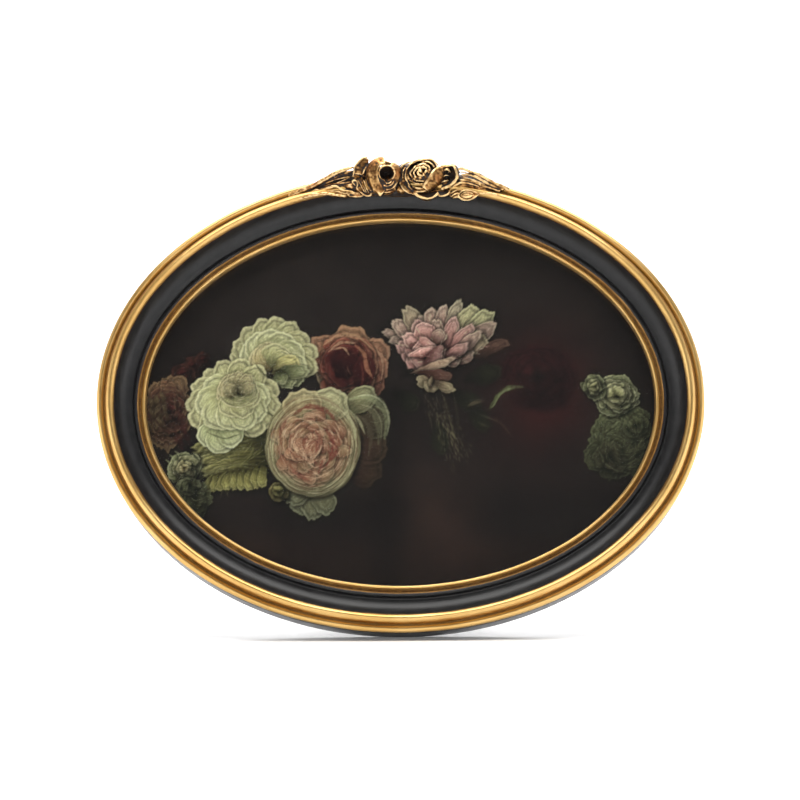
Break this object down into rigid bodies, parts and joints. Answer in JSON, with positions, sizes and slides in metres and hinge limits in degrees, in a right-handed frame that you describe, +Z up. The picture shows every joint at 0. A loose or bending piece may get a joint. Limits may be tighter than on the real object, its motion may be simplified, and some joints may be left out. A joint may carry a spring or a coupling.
{
  "type": "oval table picture frame",
  "caption": "Glazed oval landscape table frame with a gilt and black moulding, a rose crest, an art print, a velvet easel back and a wall ring.",
  "frame": {"origin": "on the surface it stands on, under the centre of the standing frame's bounding box", "axes": "+X to the viewer's right along the oval's long axis, +Y to the rear where the leg stands, +Z up"},
  "size_m": [0.2058, 0.0632, 0.1616],
  "materials": {
    "gilt_resin": "satin",
    "bronze_gilt_resin": "satin",
    "clear_glass": "gloss",
    "printed_paper": "matte",
    "grey_card": "matte",
    "velvet_board": "matte",
    "brassed_steel": "satin",
    "zinc_steel": "satin",
    "black_ribbon": "matte"
  },
  "bodies": {
    "frame": {"frame_moulding": "gilt_resin", "rose_crest": "bronze_gilt_resin", "glass_pane": "clear_glass", "art_print": "printed_paper", "filler_card": "grey_card", "back_board": "velvet_board", "button_screw_1": "zinc_steel", "button_screw_2": "zinc_steel", "button_screw_3": "zinc_steel", "button_screw_4": "zinc_steel", "hinge_leaf_board": "brassed_steel", "hinge_pin": "zinc_steel", "hinge_rivet_left": "brassed_steel", "hinge_rivet_right": "brassed_steel", "ribbon_rivet_board": "brassed_steel", "hanger_rivet": "brassed_steel", "hanger_strap": "brassed_steel", "stay_ribbon": "black_ribbon"},
    "leg": {"easel_leg": "velvet_board", "hinge_leaf_leg": "brassed_steel", "leg_rivet_left": "brassed_steel", "leg_rivet_right": "brassed_steel", "ribbon_rivet_leg": "brassed_steel"},
    "button_1": {"turn_button_1": "brassed_steel"},
    "button_2": {"turn_button_2": "brassed_steel"},
    "button_3": {"turn_button_3": "brassed_steel"},
    "button_4": {"turn_button_4": "brassed_steel"},
    "ring": {"hanger_ring": "brassed_steel"}
  },
  "joints": [
    {"name": "leg_hinge", "type": "hinge", "parent": "frame", "child": "leg", "pos_m": [0, 0.00908, 0.10205], "axis": [-1, 0, 0], "range_deg": [0, 22], "deforming": ["stay_ribbon"]},
    {"name": "button_1_turn", "type": "hinge", "parent": "frame", "child": "button_1", "pos_m": [0.07674, 0.01226, 0.12027], "axis": [0, 0.9744, -0.225], "range_deg": [-90, 90]},
    {"name": "button_2_turn", "type": "hinge", "parent": "frame", "child": "button_2", "pos_m": [-0.07674, 0.01226, 0.12027], "axis": [0, 0.9744, -0.225], "range_deg": [-90, 90]},
    {"name": "button_3_turn", "type": "hinge", "parent": "frame", "child": "button_3", "pos_m": [-0.07674, -0.00774, 0.03362], "axis": [0, 0.9744, -0.225], "range_deg": [-90, 90]},
    {"name": "button_4_turn", "type": "hinge", "parent": "frame", "child": "button_4", "pos_m": [0.07674, -0.00774, 0.03362], "axis": [0, 0.9744, -0.225], "range_deg": [-90, 90]},
    {"name": "ring_swing", "type": "hinge", "parent": "frame", "child": "ring", "pos_m": [0, 0.01511, 0.12837], "axis": [1, 0, 0], "range_deg": [-12, 165]}
  ]
}
